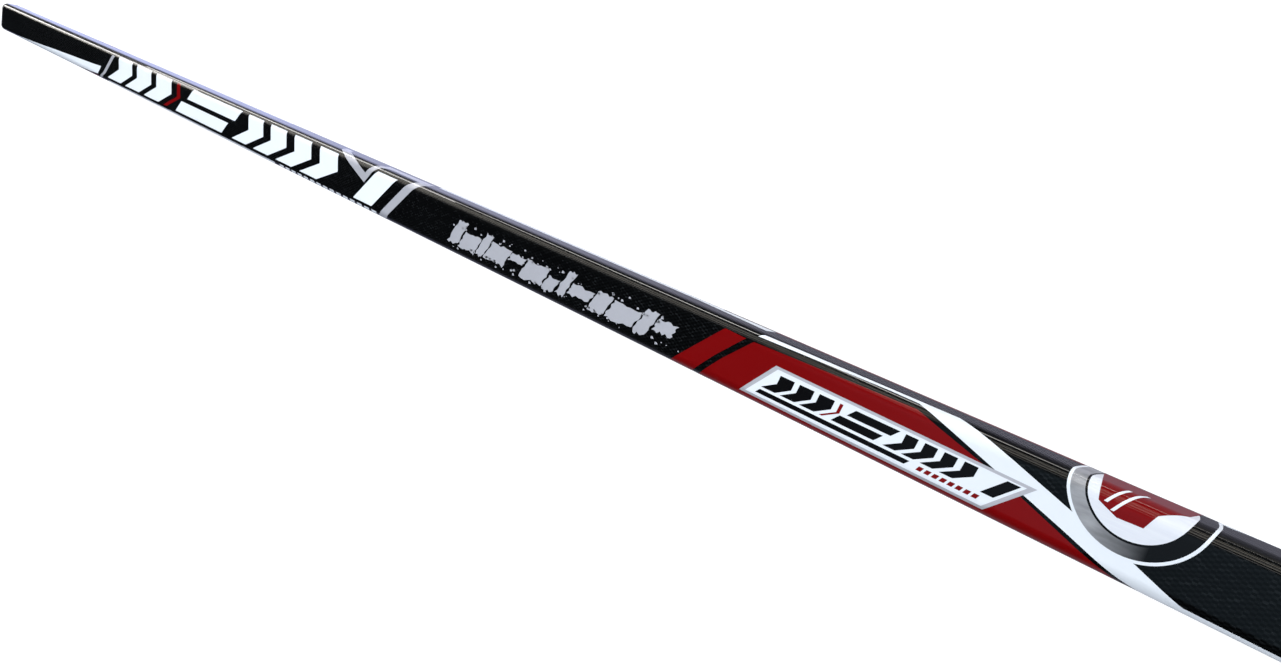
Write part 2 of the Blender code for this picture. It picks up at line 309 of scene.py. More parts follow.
class Nodes:
    """Short calls for the nodes of one node tree."""

    def __init__(self, tree, coordinates):
        self.nodes = tree.nodes
        self.links = tree.links
        self.place = self.node("TexCoord").outputs[coordinates]

    def give(self, socket, value):
        """Feed a socket from another node's output, or set it to a number, vector or colour."""
        if isinstance(value, bpy.types.NodeSocket):
            self.links.new(value, socket)
        elif socket.type == "RGBA":
            socket.default_value = (*value, 1.0)
        else:
            socket.default_value = value

    def node(self, kind, **values):
        """A new node with its inputs given; an underscore in an input's name is a space."""
        node = self.nodes.new("ShaderNode" + kind)
        for name, value in values.items():
            self.give(node.inputs[name.replace("_", " ")], value)
        return node

    def axis(self, name):
        """The X, Y or Z part of the coordinates."""
        return self.node("SeparateXYZ", Vector=self.place).outputs[name]

    def noise(self, scale, detail, along=1.0):
        """Noise whose spots are longer along the shaft where along is under 1."""
        stretched = self.node("Mapping", Vector=self.place, Scale=(along, 1.0, 1.0)).outputs["Vector"]
        return self.node("TexNoise", Vector=stretched, Scale=scale, Detail=detail).outputs["Fac"]

    def math(self, kind, *values):
        node = self.node("Math")
        node.operation = kind
        for socket, value in zip(node.inputs, values):
            self.give(socket, value)
        return node.outputs[0]

    def mix(self, share, first, second, kind="RGBA"):
        """A blend of two colours or numbers: the first at share 0, the second at share 1."""
        node = self.node("Mix")
        node.data_type = kind
        *inputs, output = MIX_SOCKETS[kind]
        for index, value in zip(inputs, (share, first, second)):
            self.give(node.inputs[index], value)
        return node.outputs[output]

    def span(self, value, low, high, to_low=0.0, to_high=1.0):
        """The value's stretch from low to high turned into to_low to to_high, and held beyond."""
        ends = {"From_Min": low, "From_Max": high, "To_Min": to_low, "To_Max": to_high}
        return self.node("MapRange", Value=value, **ends).outputs["Result"]


class Paint(Nodes):
    """A material with a Principled shader."""

    def __init__(self, name):
        self.mat = bpy.data.materials.new(name)
        self.mat.use_nodes = True
        super().__init__(self.mat.node_tree, "Object")
        self.shader = self.nodes["Principled BSDF"]

    def set(self, **values):
        for name, value in values.items():
            self.give(self.shader.inputs[name.replace("_", " ")], value)

    def cloudy_roughness(self, cloud, low, high):
        """Roughness from low to high where most of a noise's values lie."""
        self.set(Roughness=self.span(cloud, 0.3, 0.7, low, high))

    def bump(self, height, distance, strength, socket="Normal"):
        node = self.node("Bump", Height=height, Distance=distance, Strength=strength)
        self.give(self.shader.inputs[socket], node.outputs["Normal"])


def clear_coat(paint, roughness=0.02):
    """Glossy lacquer over everything, with fine lengthwise streaks and a slight orange peel."""
    paint.set(Coat_Weight=1.0, Coat_Roughness=roughness, Coat_IOR=1.5, Specular_IOR_Level=0.08)
    streaks = paint.noise(scale=900.0, detail=2.0, along=0.02)
    peel = paint.noise(scale=260.0, detail=1.0, along=0.5)
    paint.bump(paint.math("ADD", streaks, peel), distance=0.00001, strength=0.10, socket="Coat Normal")


def ink_material(name, color, flecks, roughness=0.45, metallic=0.0):
    """Screen-printed ink under the lacquer: nearly even, with slight cloudiness and specks."""
    paint = Paint(name)
    cloud = paint.noise(scale=60.0, detail=4.0)
    speck = paint.noise(scale=1400.0, detail=1.0)
    share = paint.math("MULTIPLY", paint.math("ADD", cloud, speck), 0.5)
    dark = tuple(c * (1.0 - flecks) for c in color)
    paint.set(Base_Color=paint.mix(share, dark, color), Metallic=metallic)
    paint.cloudy_roughness(cloud, roughness - 0.05, roughness + 0.05)
    clear_coat(paint)
    return paint.mat


def ring_material():
    """Brushed silver that fades to black along the shaft."""
    paint = Paint("ring_ink")
    start, end = [ORIGIN.x + (EMBLEM[0] + edge) * MM for edge in RING_FADE]
    fade = paint.span(paint.axis("X"), start, end)
    brushed = paint.noise(scale=500.0, detail=3.0, along=0.25)
    silver = paint.mix(brushed, (0.20, 0.205, 0.22), (0.56, 0.57, 0.62))
    paint.set(Base_Color=paint.mix(fade, silver, (0.006, 0.006, 0.007)), Metallic=0.3)
    paint.cloudy_roughness(brushed, 0.3, 0.5)
    clear_coat(paint)
    return paint.mat


def pearl_material():
    """White with faint brushed streaks along the shaft."""
    paint = Paint("pearl_ink")
    brushed = paint.noise(scale=420.0, detail=3.0, along=0.05)
    paint.set(Base_Color=paint.mix(brushed, (0.60, 0.63, 0.76), (0.90, 0.93, 0.98)))
    paint.cloudy_roughness(brushed, 0.3, 0.5)
    clear_coat(paint)
    return paint.mat


WEAVE_LENGTH = 1.7 * MM
WEAVE_WIDTH = 0.9 * MM
WEAVE_EDGE = 0.25


def weave_wave(paint, across):
    """The swells of a carbon cloth, from -1 to 1: staggered checks along x and across it."""
    along = paint.math("MULTIPLY", paint.axis("X"), math.pi / WEAVE_LENGTH)
    across = paint.math("MULTIPLY", across, math.pi / WEAVE_WIDTH)
    return paint.math("MULTIPLY", paint.math("SINE", along), paint.math("COSINE", across))


def section_across(paint):
    """A distance across the section that runs on over its corners, alike on both sides."""
    side = paint.math("ABSOLUTE", paint.math("SUBTRACT", paint.axis("Y"), ORIGIN.y))
    height = paint.math("ABSOLUTE", paint.math("SUBTRACT", paint.axis("Z"), MIDDLE * MM))
    return paint.math("SUBTRACT", side, height)


def blade_across(paint):
    """A distance across the blade that also runs on over its edges."""
    return paint.math("ADD", paint.axis("Y"), paint.axis("Z"))


def carbon_material(name, across, dark, light, coat_roughness, base_roughness):
    """Carbon cloth under lacquer: staggered checks, some brighter than others, faded in clouds. The
    weave is the cloth's own; the brighter checks are painted sheen of the tows, and the specks that
    lift them are painted glints.
    """
    paint = Paint(name)
    wave = weave_wave(paint, across(paint))
    share = paint.span(wave, -WEAVE_EDGE, WEAVE_EDGE)
    cloud = paint.noise(scale=35.0, detail=3.0, along=0.4)
    speckle = paint.noise(scale=520.0, detail=1.0, along=0.6)
    # Painted glints: specks that brighten the lighter checks.
    painted_glints = paint.span(speckle, low=0.5, high=0.72, to_low=0.6, to_high=1.8)
    lit = paint.node("VectorMath")
    lit.operation = "SCALE"
    paint.give(lit.inputs[0], light)
    paint.give(lit.inputs["Scale"], painted_glints)
    weave = paint.mix(share, dark, lit.outputs[0])
    faded = paint.span(cloud, low=0.35, high=0.7, to_high=0.5)
    paint.set(Base_Color=paint.mix(faded, weave, dark))
    paint.set(Roughness=paint.span(share, 0.0, 1.0, base_roughness + 0.12, base_roughness))
    paint.bump(wave, distance=0.00003, strength=0.4)
    clear_coat(paint, coat_roughness)
    return paint.mat


def moulded_material(name, dark, light, cloud, roughness, grain, depth):
    """A moulded or cast stuff: cloudy in colour and shine, with a fine grain.

    cloud and grain are each a noise's scale and detail; depth is the grain's, in metres.
    """
    paint = Paint(name)
    clouds = paint.noise(*cloud)
    paint.set(Base_Color=paint.mix(clouds, dark, light))
    paint.cloudy_roughness(clouds, *roughness)
    paint.bump(paint.noise(*grain), depth, strength=0.5)
    return paint.mat


def foam_material():
    """Rigid foam with fine closed cells."""
    paint = Paint("rigid_foam")
    depth = paint.node("TexVoronoi", Vector=paint.place, Scale=1600.0).outputs["Distance"]
    paint.set(Base_Color=paint.mix(depth, (0.86, 0.79, 0.58), (0.62, 0.54, 0.34)))
    paint.set(Roughness=paint.span(depth, 0.0, 1.0, 0.95, 0.8))
    paint.bump(depth, distance=0.0002, strength=0.6)
    return paint.mat


# Each light colour is that of the brighter checks, a painted sheen of the tows.
shaft_carbon = carbon_material(
    "shaft_carbon", section_across, dark=(0.0006, 0.0006, 0.0007), light=(0.0065, 0.0075, 0.0085),
    coat_roughness=0.02, base_roughness=0.3)
blade_carbon = carbon_material(
    "blade_carbon", blade_across, dark=(0.0025, 0.0025, 0.0028), light=(0.018, 0.0185, 0.020),
    coat_roughness=0.10, base_roughness=0.35)
rib_carbon = carbon_material(
    "rib_carbon", blade_across, dark=(0.012, 0.012, 0.013), light=(0.05, 0.05, 0.052),
    coat_roughness=0.4, base_roughness=0.4)
white_ink = ink_material("white_ink", (0.82, 0.87, 0.95), flecks=0.03)
red_ink = ink_material("red_ink", (0.197, 0.0012, 0.002), flecks=0.12)
black_ink = ink_material("black_ink", (0.004, 0.004, 0.005), flecks=0.2)
silver_ink = ink_material("silver_ink", (0.56, 0.57, 0.64), flecks=0.2, roughness=0.35, metallic=0.25)
ring_ink = ring_material()
pearl_ink = pearl_material()
plastic = moulded_material(
    "black_plastic", dark=(0.012, 0.012, 0.013), light=(0.026, 0.026, 0.028),
    cloud=(90.0, 3.0), roughness=(0.36, 0.5), grain=(2200.0, 2.0), depth=0.00003)
resin = moulded_material(
    "cast_resin", dark=(0.07, 0.06, 0.045), light=(0.15, 0.13, 0.10),
    cloud=(120.0, 4.0), roughness=(0.35, 0.55), grain=(600.0, 3.0), depth=0.00005)
glue = moulded_material(
    "epoxy_glue", dark=(0.45, 0.36, 0.20), light=(0.65, 0.56, 0.38),
    cloud=(180.0, 4.0), roughness=(0.2, 0.4), grain=(900.0, 2.0), depth=0.00004)
foam = foam_material()


# Shaft and butt cap


def add_shaft():
    """The tube: a smooth outside with exact normals, and plain ends and inside."""
    stops = section_stops()
    count = len(stops)
    normal = [outward(u) for u in stops]
    rings = ((SHAFT_START, -WALL), (SHAFT_START, 0.0), (SHAFT_END, 0.0), (SHAFT_END, -WALL))
    points = [wrap(x, u, lift) for x, lift in rings for u in stops]
    faces, normals = [], []
    for r in range(len(rings)):
        s = (r + 1) % len(rings)
        outside = rings[r][1] == rings[s][1] == 0.0
        for i in range(count):
            j = (i + 1) % count
            faces.append([r * count + i, r * count + j, s * count + j, s * count + i])
            normals.append([normal[i], normal[j], normal[j], normal[i]] if outside else None)
    mesh = mesh_from("shaft_surface", points, faces, normals)
    shaft = new_piece("shaft_surface", mesh, shaft_carbon)
    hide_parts("shaft_tube")


def shaft_ring(x, inset):
    return [wrap(x, u, -inset) for u in section_stops()]


def add_butt_cap():
    """A flush cap with a chamfered edge, and the hollow spigot that is glued into the tube."""
    rings = []
    for step in range(CAP_EDGE_STEPS + 1):
        inset = CAP_EDGE * (1 - math.sin(math.pi / 2 * step / CAP_EDGE_STEPS))
        rings.append(shaft_ring(inset, inset))
    rings.append(shaft_ring(CAP_DEPTH, 0.0))
    rings.append(shaft_ring(CAP_DEPTH, SPIGOT_INSET))
    rings.append(shaft_ring(PLUG_DEPTH, SPIGOT_INSET))
    rings.append(shaft_ring(PLUG_DEPTH, SPIGOT_INSET + PLUG_WALL))
    rings.append(shaft_ring(CAP_DEPTH, SPIGOT_INSET + PLUG_WALL))
    cap = loft("butt_cap", rings, plastic)
    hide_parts("butt_plug")


# Neck and blade


def ease(table, reach):
    """Smooth reading of a table of (reach, value) pairs, with a tangent from its neighbours."""
    slopes = []
    for i in range(len(table)):
        a, b = table[max(i - 1, 0)], table[min(i + 1, len(table) - 1)]
        slopes.append((b[1] - a[1]) / (b[0] - a[0]))
    slopes[0] = 0.0
    for i, ((start, value_a), (end, value_b)) in enumerate(zip(table, table[1:])):
        if reach <= end or i == len(table) - 2:
            span = end - start
            t = min(1.0, max(0.0, (reach - start) / span))
            near = (1 + 2 * t) * (1 - t) ** 2 * value_a + t * (1 - t) ** 2 * span * slopes[i]
            far = t * t * (3 - 2 * t) * value_b + t * t * (t - 1) * span * slopes[i + 1]
            return near + far


def smooth(share):
    share = min(1.0, max(0.0, share))
    return share * share * (3 - 2 * share)


def middle_height(reach):
    """Height of the neck's and blade's mid surface, which bends down to rest on its toe."""
    shaft_end = SHAFT_END - STICK_LENGTH
    share = min(1.0, max(0.0, (reach - shaft_end) / (HEEL_END - shaft_end)))
    level = THICKNESS / 2 + BLADE_OFFSET * share
    toe_level = THICKNESSES[-1][1] / 2
    bend = max(0.0, (reach - CURVE_START) / (BLADE_LENGTH - CURVE_START))
    return level - (THICKNESS / 2 + BLADE_OFFSET - toe_level) * bend * bend


def corner_path(start, corner, end, radius):
    """A function that gives the point at a share of the way past a corner of this radius."""
    first = (start - corner).normalized()
    last = (end - corner).normalized()
    half = first.angle(last) / 2
    setback = radius / math.tan(half)
    sweep = math.pi - 2 * half
    centre = corner + (first + last).normalized() * radius / math.sin(half)
    arm_a = corner + first * setback - centre
    arm_b = corner + last * setback - centre
    before = (start - corner).length - setback
    around = radius * sweep
    after = (end - corner).length - setback

    def point(share):
        travel = share * (before + around + after)
        if travel <= before:
            return start - first * travel
        travel -= before
        if travel <= around:
            turn = travel / radius
            weight_a = math.sin(sweep - turn) / math.sin(sweep)
            weight_b = math.sin(turn) / math.sin(sweep)
            return centre + arm_a * weight_a + arm_b * weight_b
        return corner + last * (setback + travel - around)

    return point


def on_blade(along, up):
    return HEEL_CORNER + ICE * along + UP_BLADE * up


def bottom_height(along):
    rise = max(0.0, along - ROCKER_START) / (BLADE_LENGTH - ROCKER_START)
    return ROCKER * rise * rise


def top_height(along):
    return HEEL_HEIGHT + (TOE_HEIGHT - HEEL_HEIGHT) * (along - HEEL_END) / (BLADE_LENGTH - HEEL_END)


def heel_stations():
    """Bottom and top edge points from the end of the neck round the heel and the throat."""
    side = Vector((HOSEL_END, -HOSEL_WIDTH / 2))
    heel = corner_path(side, on_blade(0.0, 0.0), on_blade(HEEL_END, 0.0), HEEL_RADIUS)
    front = Vector((HOSEL_END, HOSEL_WIDTH / 2))
    throat_along = HOSEL_WIDTH / math.sin(LIE) - HEEL_HEIGHT / math.tan(LIE)
    throat_corner = on_blade(throat_along, HEEL_HEIGHT)
    throat = corner_path(front, throat_corner, on_blade(HEEL_END, HEEL_HEIGHT), THROAT_RADIUS)
    shares = [step / HEEL_STATIONS for step in range(HEEL_STATIONS)]
    return [(heel(share), throat(share)) for share in shares]


def blade_stations():
    """Bottom and top edge points along the blade's straight part."""
    pairs = []
    straight_end = BLADE_LENGTH - TOE_RADIUS_HIGH
    for step in range(BLADE_STATIONS):
        along = HEEL_END + (straight_end - HEEL_END) * step / BLADE_STATIONS
        pairs.append((on_blade(along, bottom_height(along)), on_blade(along, top_height(along))))
    return pairs


def toe_stations():
    """Bottom and top edge points round the toe."""
    pairs = []
    low_centre = BLADE_LENGTH - TOE_RADIUS_LOW
    high_centre = BLADE_LENGTH - TOE_RADIUS_HIGH
    for step in range(TOE_STATIONS + 1):
        angle = math.pi / 2 * step / TOE_STATIONS
        low_along = low_centre + TOE_RADIUS_LOW * math.sin(angle)
        high_along = high_centre + TOE_RADIUS_HIGH * math.sin(angle)
        low_up = bottom_height(low_centre) + TOE_RADIUS_LOW * (1 - math.cos(angle))
        high_up = top_height(high_centre) - TOE_RADIUS_HIGH * (1 - math.cos(angle))
        pairs.append((on_blade(low_along, low_up), on_blade(high_along, high_up)))
    return pairs


def reach_at(index, spot):
    """Distance along the ice that sets thickness and height, in even steps up to HEEL_END."""
    if index < HEEL_STATIONS:
        start = HOSEL_END - STICK_LENGTH
        return start + (HEEL_END - start) * index / HEEL_STATIONS
    return (spot - HEEL_CORNER).dot(ICE)


def quarter_turn(centre, radius, start, steps):
    """Points of a quarter circle that starts after this many quarter turns."""
    angles = [math.pi / 2 * (start + step / steps) for step in range(steps + 1)]
    return [(centre[0] + radius * math.cos(a), centre[1] + radius * math.sin(a)) for a in angles]


def half_section(width, thickness, corner, side):
    """One half of the blade's shell, from its parting line round one face and back inside."""
    half = thickness / 2
    corner = min(corner, width / 2 - LEAST_RADIUS, half - SEAM)
    ceiling = max(half - SKIN, 2 * SEAM)
    inset = min(SKIN, width / 4)
    section = quarter_turn((width - corner, half - corner), corner, 0, EDGE_STEPS)
    for row in range(1, FACE_ROWS):
        section.append((width - corner - (width - 2 * corner) * row / FACE_ROWS, half))
    section += quarter_turn((corner, half - corner), corner, 1, EDGE_STEPS)
    section += [(0.0, SEAM), (inset, SEAM), (inset, ceiling)]
    section += [(width - inset, ceiling), (width - inset, SEAM), (width, SEAM)]
    return [(distance, side * height) for distance, height in section]


def blade_rings(side):
    """Sections of the front (side 1) or back (side -1) half of the blade, from neck to toe."""
    rings = []
    pairs = heel_stations() + blade_stations() + toe_stations()
    for index, (low, high) in enumerate(pairs):
        thickness = ease(THICKNESSES, reach_at(index, (low + high) / 2))
        tip = max(0.0, 1 - (len(pairs) - 1 - index) / TIP_STATIONS)
        thickness *= 1.0 - (1.0 - TIP_THICKNESS) * tip * tip
        corner = HOSEL_CORNER + (EDGE_RADIUS - HOSEL_CORNER) * smooth(index / HEEL_STATIONS)
        across = (high - low).normalized()
        ring = []
        for distance, height in half_section((high - low).length, thickness, corner, side):
            spot = low + across * distance
            ring.append(place(spot.x, spot.y, middle_height(reach_at(index, spot)) + height))
        rings.append(ring)
    return rings


def add_blade():
    front = loft("blade_front_face", blade_rings(1), blade_carbon, sharp=BLADE_SHARP)
    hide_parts("blade_front_skin")
    back = loft("blade_back_face", blade_rings(-1), blade_carbon, sharp=BLADE_SHARP)
    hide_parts("blade_back_skin")


def neck_ring(x, inset):
    """The rounded section of the neck at x, moved inwards by inset."""
    share = (x - SHAFT_END) / (HOSEL_END - SHAFT_END)
    radius = CORNER + (HOSEL_CORNER - CORNER) * share - inset
    across = (WIDTH + (HOSEL_WIDTH - WIDTH) * share) / 2 - inset - radius
    upward = ease(THICKNESSES, x - STICK_LENGTH) / 2 - inset - radius
    middle = middle_height(x - STICK_LENGTH)
    ring = []
    for quarter, (side_y, side_z) in enumerate(((1, 1), (-1, 1), (-1, -1), (1, -1))):
        ring += quarter_turn((side_y * across, side_z * upward), radius, quarter, CORNER_STEPS)
    return [place(x, y, middle + z) for y, z in ring]


def add_neck():
    start = SHAFT_END + NECK_GAP
    stops = [start + (HOSEL_END - start) * s / NECK_STATIONS for s in range(NECK_STATIONS + 1)]
    rings = [neck_ring(x, 0.0) for x in stops] + [neck_ring(x, WALL) for x in reversed(stops)]
    neck = loft("neck_surface", rings, shaft_carbon, closed=True)
    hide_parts("hosel_tube")


# Shapes of the prints, as outlines in (x, u)


# How far x falls for each millimetre of u
SLANT = 1.0
FINE_SLANT = 0.6

# A dash's share of its step, and an arrowhead's nose as a share of its band's length
DASH_SHARE = 0.65
NOSE = 0.03

# Bands filled with speed blocks: start, end, top and bottom
FAR_BAND = (350, 822, 9.8, 32.3)
LABEL_BAND = (1117, 1226, 20.0, 28.0)


def lean(x, u, level, slant=SLANT):
    """The x of a point at u on a line that passes x at the level and leans."""
    return x - (u - level) * slant


def slanted(start, end, top, bottom, level, slant=SLANT):
    """A parallelogram from start to end at the level, leaning so that x falls as u grows."""
    corners = ((start, top), (end, top), (end, bottom), (start, bottom))
    return [(lean(x, u, level, slant), u) for x, u in corners]


def dashes(start, end, count, top, bottom):
    step = (end - start) / count
    starts = [start + step * i for i in range(count)]
    return [slanted(x, x + step * DASH_SHARE, top, bottom, top, FINE_SLANT) for x in starts]


def in_band(outline, start, end, top, bottom):
    """A leaning outline, given in shares of a band's length and height."""
    points = []
    for along, down in outline:
        u = top + (bottom - top) * down
        points.append((lean(start + (end - start) * along, u, (top + bottom) / 2), u))
    return points


def bar(start, end, low=0.0, high=1.0):
    return [(start, low), (end, low), (end, high), (start, high)]


def chevrons(start, step, count, width):
    """Bold arrowheads across the whole band."""
    shapes = []
    for number in range(count):
        near = start + step * number
        far = near + width
        shapes.append([(near, 0), (far, 0), (far + NOSE, 0.5), (far, 1), (near, 1), (near + NOSE, 0.5)])
    return shapes


def speed_blocks(band):
    """Generic racing graphics: arrowheads, two long bars, more arrowheads and a short bar."""
    shapes = chevrons(start=0.0, step=0.092, count=3, width=0.068)
    shapes += [bar(0.345, 0.53, high=0.42), bar(0.33, 0.515, low=0.58)]
    shapes += chevrons(start=0.553, step=0.075, count=4, width=0.05)
    shapes += [bar(0.93, 0.977)]
    return [in_band(shape, *band) for shape in shapes]


def speed_accent(band):
    """A thin arrowhead that follows the first group of speed_blocks."""
    return [in_band(shape, *band) for shape in chevrons(start=0.276, step=0.0, count=1, width=0.014)]


def emblem_point(radius, step):
    angle = 2 * math.pi * step / ROUND_STEPS
    return EMBLEM[0] + radius * math.cos(angle), EMBLEM[1] + radius * math.sin(angle)


def emblem_ring(outer, inner):
    """A ring round the emblem's centre, in quads."""
    quads = []
    for step in range(ROUND_STEPS):
        near = [emblem_point(outer, step), emblem_point(outer, step + 1)]
        quads.append(near + [emblem_point(inner, step + 1), emblem_point(inner, step)])
    return quads


# Worn strokes: width, top and bottom of each
STROKES = (
    (9, 16.6, 30.2), (15, 21.5, 30.8), (6, 17.0, 30.4), (17, 20.2, 30.4), (12, 20.8, 25.6),
    (18, 20.6, 31.0), (9, 23.6, 31.0), (6, 16.6, 30.6), (16, 22.0, 28.0), (11, 20.0, 31.0),
    (19, 20.6, 30.4), (8, 17.6, 31.0), (12, 19.6, 26.0),
)
STROKE_SEED = 7
STROKES_START = 886.0
STROKE_GAP = 1.3
STROKE_LEVEL = 24
STROKE_SLANT = 0.55
TEAR_STEPS = 7
TEAR_TOP, TEAR_SIDE, TEAR_BOTTOM = 0.7, 0.8, 0.9
FLECKS = 90
FLECK_SPAN = (885, 1070)
FLECKS_ABOVE = (16.5, 21.5)
FLECKS_BELOW = (29.5, 32.5)
FLECK_SIZES = (0.25, 0.8)
FLECK_LENGTH = 1.6
FLECK_ANGLES = (0.3, 2.2, 4.1, 5.2)


def rough_bar(rng, start, end, top, bottom):
    """A slanted bar whose edges are torn like worn stencil paint."""

    def leaning(x, u):
        return lean(x, u, STROKE_LEVEL, STROKE_SLANT)

    outline = []
    forth = [step / TEAR_STEPS for step in range(TEAR_STEPS)]
    back = [1 - share for share in forth]
    for share in forth:
        x = leaning(start + (end - start) * share, top)
        outline.append((x, top + rng.uniform(-TEAR_TOP, TEAR_TOP)))
    for share in forth:
        u = top + (bottom - top) * share
        outline.append((leaning(end, u) + rng.uniform(-TEAR_SIDE, TEAR_SIDE), u))
    for share in back:
        x = leaning(start + (end - start) * share, bottom)
        outline.append((x, bottom + rng.uniform(-TEAR_BOTTOM, TEAR_BOTTOM)))
    for share in back:
        u = top + (bottom - top) * share
        outline.append((leaning(start, u) + rng.uniform(-TEAR_SIDE, TEAR_SIDE), u))
    return outline


def torn_strokes():
    """Worn silver strokes of unlike heights with loose flecks round them."""
    rng = random.Random(STROKE_SEED)
    outlines = []
    x = STROKES_START
    for width, top, bottom in STROKES:
        outlines.append(rough_bar(rng, x, x + width, top, bottom))
        x += width + STROKE_GAP
    for _ in range(FLECKS):
        at = rng.uniform(*FLECK_SPAN)
        down = rng.choice((rng.uniform(*FLECKS_ABOVE), rng.uniform(*FLECKS_BELOW)))
        size = rng.uniform(*FLECK_SIZES)
        outlines.append([
            (at + size * math.cos(a) * FLECK_LENGTH, down + size * math.sin(a)) for a in FLECK_ANGLES])
    return outlines


# Prints on the shaft. Each has a name, outlines, a layer and an ink; outlines are points (x, u).


def far_prints():
    """The swoosh at the butt and the long white band after it."""
    swoosh = [
        (36, 36.4), (100, 33.8), (200, 29.8), (300, 26.3), (320, 25.3), (316.5, 29.5), (312, 33.5),
        (285, 34.9), (250, 36.2), (236, 40.5), (60, 42.5), (40, 38),
    ]
    red_edge = [(270, 36.6), (312, 35.2), (308, 41), (262, 41)]
    silver_band = [
        (345, 11), (351.5, 11), (332, 30), (322, 35), (310, 40.5), (304, 40.5), (316, 35), (326, 30),
    ]
    return [
        ("print_butt_swoosh", [swoosh], 0, white_ink),
        ("print_butt_red_edge", [red_edge], 0, red_ink),
        ("print_far_silver_band", [silver_band], 0, silver_ink),
        ("print_far_blocks", speed_blocks(FAR_BAND), 0, white_ink),
        ("print_far_accent", speed_accent(FAR_BAND), 0, red_ink),
        ("print_far_underline", [slanted(338, 668, 35.2, 41.0, level=35.2)], 0, white_ink),
        ("print_far_dashes", dashes(676, 808, 15, 34.5, 39.5), 0, white_ink),
    ]


def middle_prints():
    """The silver chevron that ends the white band, and the worn strokes."""
    chevron = [
        (744, -0.8), (753, -0.8), (756, 3.2), (787.3, 13.9), (792, 8.2), (797, 2.5), (797, -1.2),
        (806, -1.2), (806, 3.4), (799, 7.0), (787.6, 20.0), (785.6, 19.4), (748.6, 5.4),
    ]
    chevron_foot = [(806, -1.2), (846, -1.5), (846, 4.5), (806, 3.4)]
    stripe = [(839, 4.5), (849, 3.0), (811.5, 40.4), (803, 40.4)]
    return [
        ("print_silver_chevron", [chevron, chevron_foot], 0, silver_ink),
        ("print_silver_stripe", [stripe], 0, silver_ink),
        ("print_torn_strokes", torn_strokes(), 0, silver_ink),
    ]


def near_prints():
    """The red field, the white stripe that runs round it, and the label on it."""
    red_band = [(1087, 11), (1099, 11.4), (1085.5, 24), (1071, 39.5), (1059, 39.5), (1060, 36.4)]
    red_field = [
        (1103.4, 11.4), (1140, 10.4), (1182, 9.4), (1219, 20), (1261, 35), (1272, 41), (1074, 41),
        (1075, 39.5), (1089.5, 24),
    ]
    stripe = [
        (1103.6, 8.25), (1105.6, 6.1), (1197, 4.8), (1222, 12.2), (1246, 20.3), (1269, 27.6),
        (1286, 34.2), (1322, 34.8), (1329, 36.4), (1320, 38.4), (1300, 39.0), (1288, 41), (1279, 41),
        (1271, 37), (1246, 28), (1219, 18.9), (1200, 12.5), (1181, 6.7), (1167.5, 6.6), (1140, 7.3),
    ]
    label_edge = [(1117.5, 16.8), (1232.8, 18.4), (1216.9, 34.2), (1102.2, 33.7)]
    label = [(1118.9, 18.0), (1229.4, 19.5), (1216.2, 32.9), (1105.6, 32.5)]
    return [
        ("print_red_band", [red_band], 0, red_ink),
        ("print_red_field", [red_field], 0, red_ink),
        ("print_white_stripe", [stripe], 0, white_ink),
        ("print_label_edge", [label_edge], 1, silver_ink),
        ("print_label", [label], 2, white_ink),
        ("print_label_blocks", speed_blocks(LABEL_BAND), 3, black_ink),
        ("print_label_underline", [slanted(1112, 1185, 29.2, 31.2, level=30)], 3, black_ink),
        ("print_label_accent", speed_accent(LABEL_BAND), 3, red_ink),
        ("print_label_dashes", dashes(1190, 1216, 8, 29.4, 31.2), 3, red_ink),
    ]


def add_prints(tag, turn):
    """The graphics of one wide face; turn moves them round the section."""
    for name, outlines, layer, ink in far_prints() + middle_prints() + near_prints():
        printed_shell(f"{name}_{tag}", outlines, layer, ink, turn)


def add_emblem():
    """A round badge laid over the edge, with a plain faceted crest, and the edge's white stripe."""
    disc = [emblem_point(DISC_RADIUS, step) for step in range(ROUND_STEPS)]
    crest = [
        (1246.5, -8), (1249.3, 3), (1252, 12.5), (1259, 15.6), (1267.5, 15.2), (1270, 9.5),
        (1277.5, 4), (1280, -8),
    ]
    crest_lines = [
        slanted(1256, 1257.2, 4, 12, level=8, slant=FINE_SLANT),
        slanted(1260, 1261.2, 2, 14, level=8, slant=FINE_SLANT),
    ]
    edge_stripe = [(850, -2.0), (1058, -2.0), (1102, 0.5), (1108, -9), (850, -9)]
    pieces = [
        ("emblem_rim", emblem_ring(EMBLEM_RADIUS, RING_RADIUS), 1, white_ink),
        ("emblem_ring", emblem_ring(RING_RADIUS, LINE_RADIUS), 1, ring_ink),
        ("emblem_line", emblem_ring(LINE_RADIUS, DISC_RADIUS), 1, black_ink),
        ("emblem_disc", [disc], 1, pearl_ink),
        ("emblem_crest", [crest], 2, red_ink),
        ("emblem_crest_lines", crest_lines, 3, white_ink),
        ("edge_stripe", [edge_stripe], 0, white_ink),
    ]
    for name, outlines, layer, ink in pieces:
        printed_shell(name, outlines, layer, ink)


def finish_hidden_nodes():
    """Procedural finishes for the CAD pieces inside the stick."""
    inside = (
        (resin, ("tenon_core", "blade_rim", "heel_block", "toe_block")),
        (glue, ("butt_plug_glue", "tenon_glue")),
        (foam, ("foam_core_lower", "foam_core_middle", "foam_core_upper")),
        (rib_carbon, ("rib_lower", "rib_upper")),
    )
    for mat, names in inside:
        for name in names:
            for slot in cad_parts[name].material_slots:
                slot.material = mat


# Camera


CAMERA_AT = (1331.1, 110.5, 359.5)
CAMERA_AIM = (1040.4, -7.9, 19.5)
CAMERA_ROLL = math.radians(-93.13)
LENS = 27.53
SENSOR = 36.0
NEAREST_SEEN = 0.01


